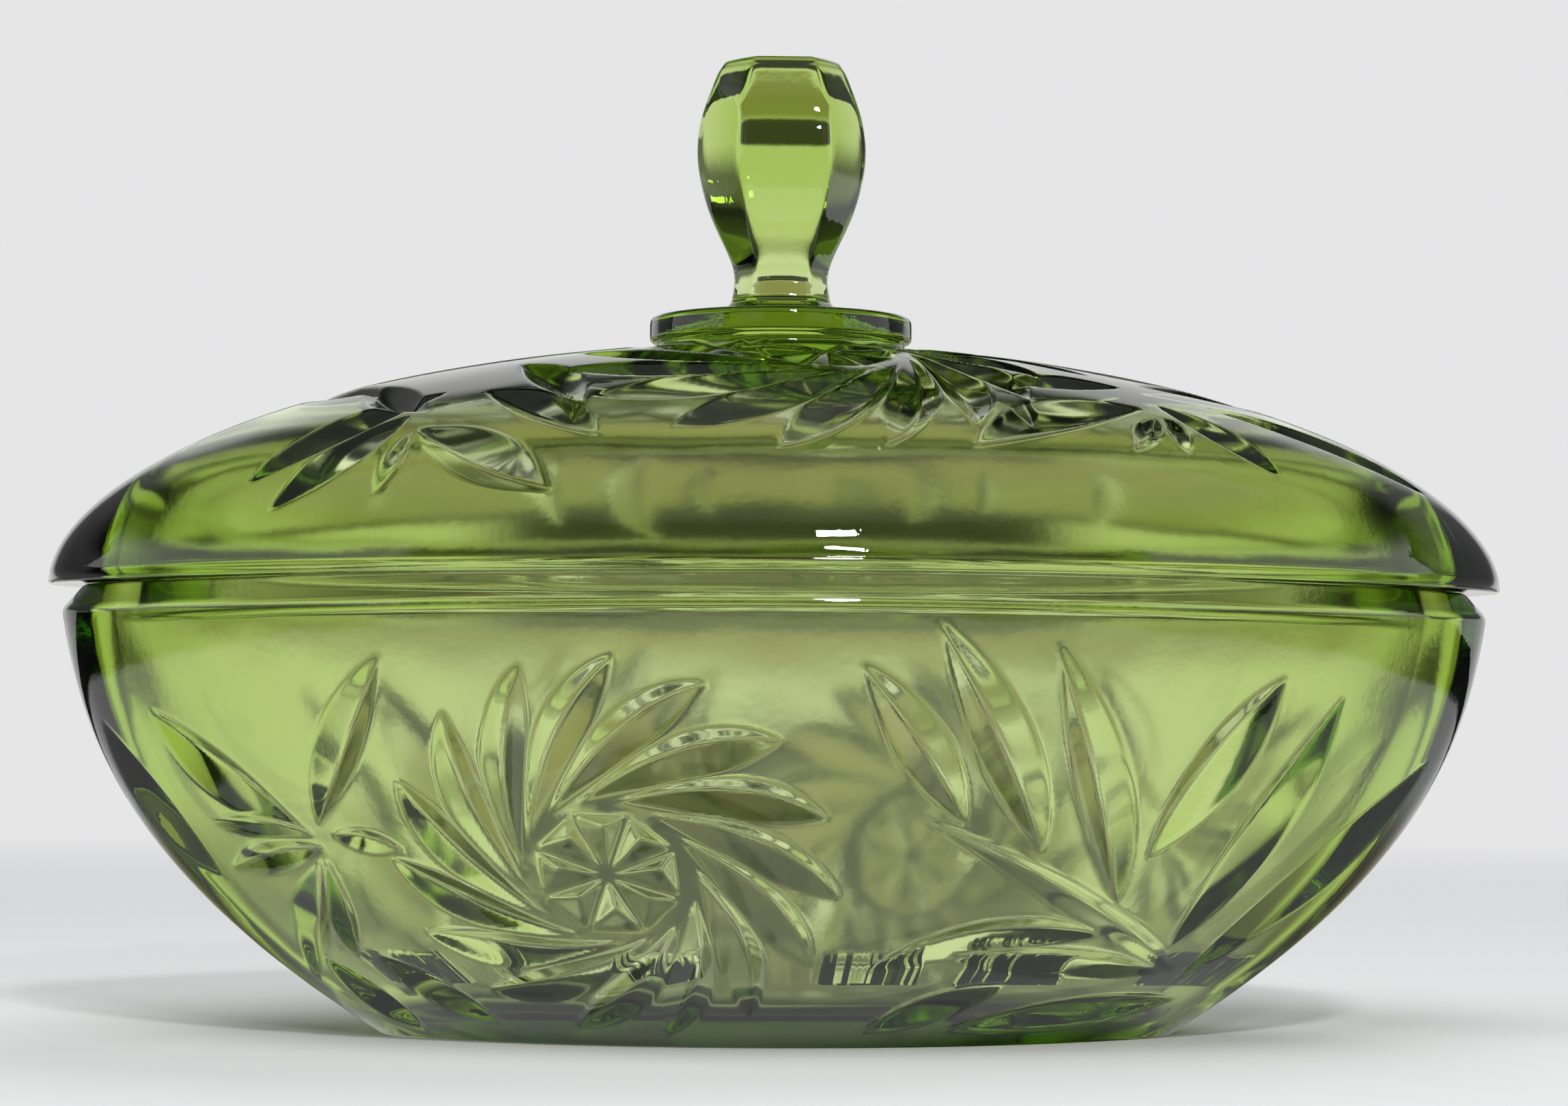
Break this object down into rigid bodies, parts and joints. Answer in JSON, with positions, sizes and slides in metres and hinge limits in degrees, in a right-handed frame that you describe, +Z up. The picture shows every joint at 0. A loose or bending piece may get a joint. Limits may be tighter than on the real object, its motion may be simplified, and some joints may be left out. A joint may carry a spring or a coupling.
{
  "type": "covered candy dish",
  "caption": "Boat-shaped covered candy dish in thick green pressed glass: a footed bowl and a lift-off domed lid with a faceted knob.",
  "frame": {"origin": "on the table, under the middle of the dish", "axes": "+X along the dish's long axis from end to end, +Y across it, +Z up through the knob"},
  "size_m": [0.1904, 0.12, 0.128],
  "materials": {
    "bowl_glass": "gloss",
    "lid_glass": "gloss"
  },
  "bodies": {
    "bowl": {"bowl": "bowl_glass"},
    "lid": {"lid": "lid_glass"}
  },
  "joints": [
    {"name": "lid_lift", "type": "slide", "parent": "bowl", "child": "lid", "axis": [0, 0, 1], "range_m": [0, 0.12]}
  ]
}
